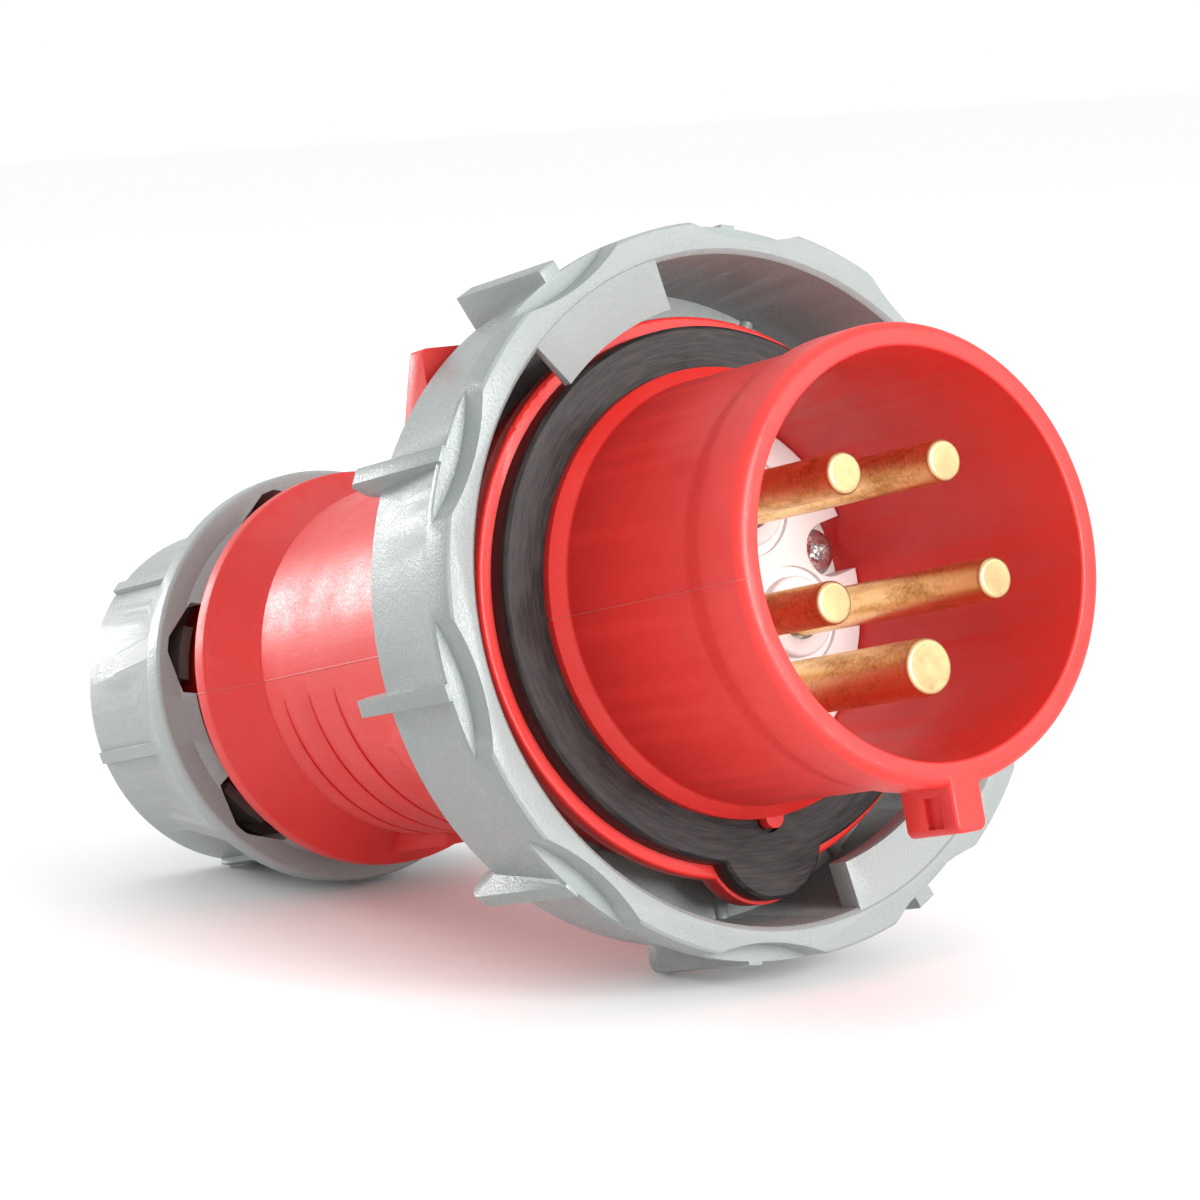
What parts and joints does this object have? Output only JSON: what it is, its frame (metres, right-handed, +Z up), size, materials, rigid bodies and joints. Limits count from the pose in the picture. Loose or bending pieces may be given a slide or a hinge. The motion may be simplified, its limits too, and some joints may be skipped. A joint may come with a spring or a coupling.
{
  "type": "pin and sleeve plug",
  "caption": "Industrial pin and sleeve plug: red sleeve with brass contact pins, sealing gasket, grey bayonet coupling ring and a cable gland nut at the rear.",
  "frame": {"origin": "middle of the plug's outline on the surface it lies on", "axes": "+Y to the rear, along the plug, +X to the right seen from the mouth, +Z up; the plug lies tail down, so its axis slopes"},
  "size_m": [0.1066, 0.1958, 0.1094],
  "materials": {
    "red_shell": "satin",
    "grey_plastic": "satin",
    "dark_grey_plastic": "matte",
    "white_insulator": "satin",
    "black_rubber": "matte",
    "grey_rubber": "matte",
    "contact_brass": "satin",
    "bright_steel": "satin"
  },
  "bodies": {
    "plug_body": {"rear_housing": "red_shell", "sleeve_shroud": "red_shell", "flange_gasket": "black_rubber", "housing_seal": "black_rubber", "contact_insert": "white_insulator", "insert_screws": "bright_steel", "terminal_carrier": "white_insulator", "carrier_tie_screw": "bright_steel", "terminal_screws": "bright_steel", "pin_l1": "contact_brass", "pin_l2": "contact_brass", "pin_l3": "contact_brass", "pin_neutral": "contact_brass", "pin_earth": "contact_brass", "clamp_cage": "dark_grey_plastic", "gland_seal": "black_rubber", "gland_seal_core": "grey_rubber"},
    "ring": {"coupling_ring": "grey_plastic"},
    "washer": {"gland_washer": "dark_grey_plastic"},
    "nut": {"gland_nut": "grey_plastic"}
  },
  "joints": [
    {"name": "ring_turn", "type": "hinge", "parent": "plug_body", "child": "ring", "pos_m": [0, -0.04137, 0.05477], "axis": [0, -0.9802, 0.198], "range_deg": [0, 45]},
    {"name": "gland_travel", "type": "slide", "parent": "plug_body", "child": "washer", "axis": [0, 0.9802, -0.198], "range_m": [0, 0.00601]},
    {"name": "gland_turn", "type": "hinge", "parent": "washer", "child": "nut", "pos_m": [0, 0.07626, 0.03101], "axis": [0, 0.9802, -0.198], "range_deg": [0, 720]}
  ],
  "couplings": [
    {"joint": "gland_travel", "follows": "gland_turn", "m_per_rad": 0.00047746}
  ]
}
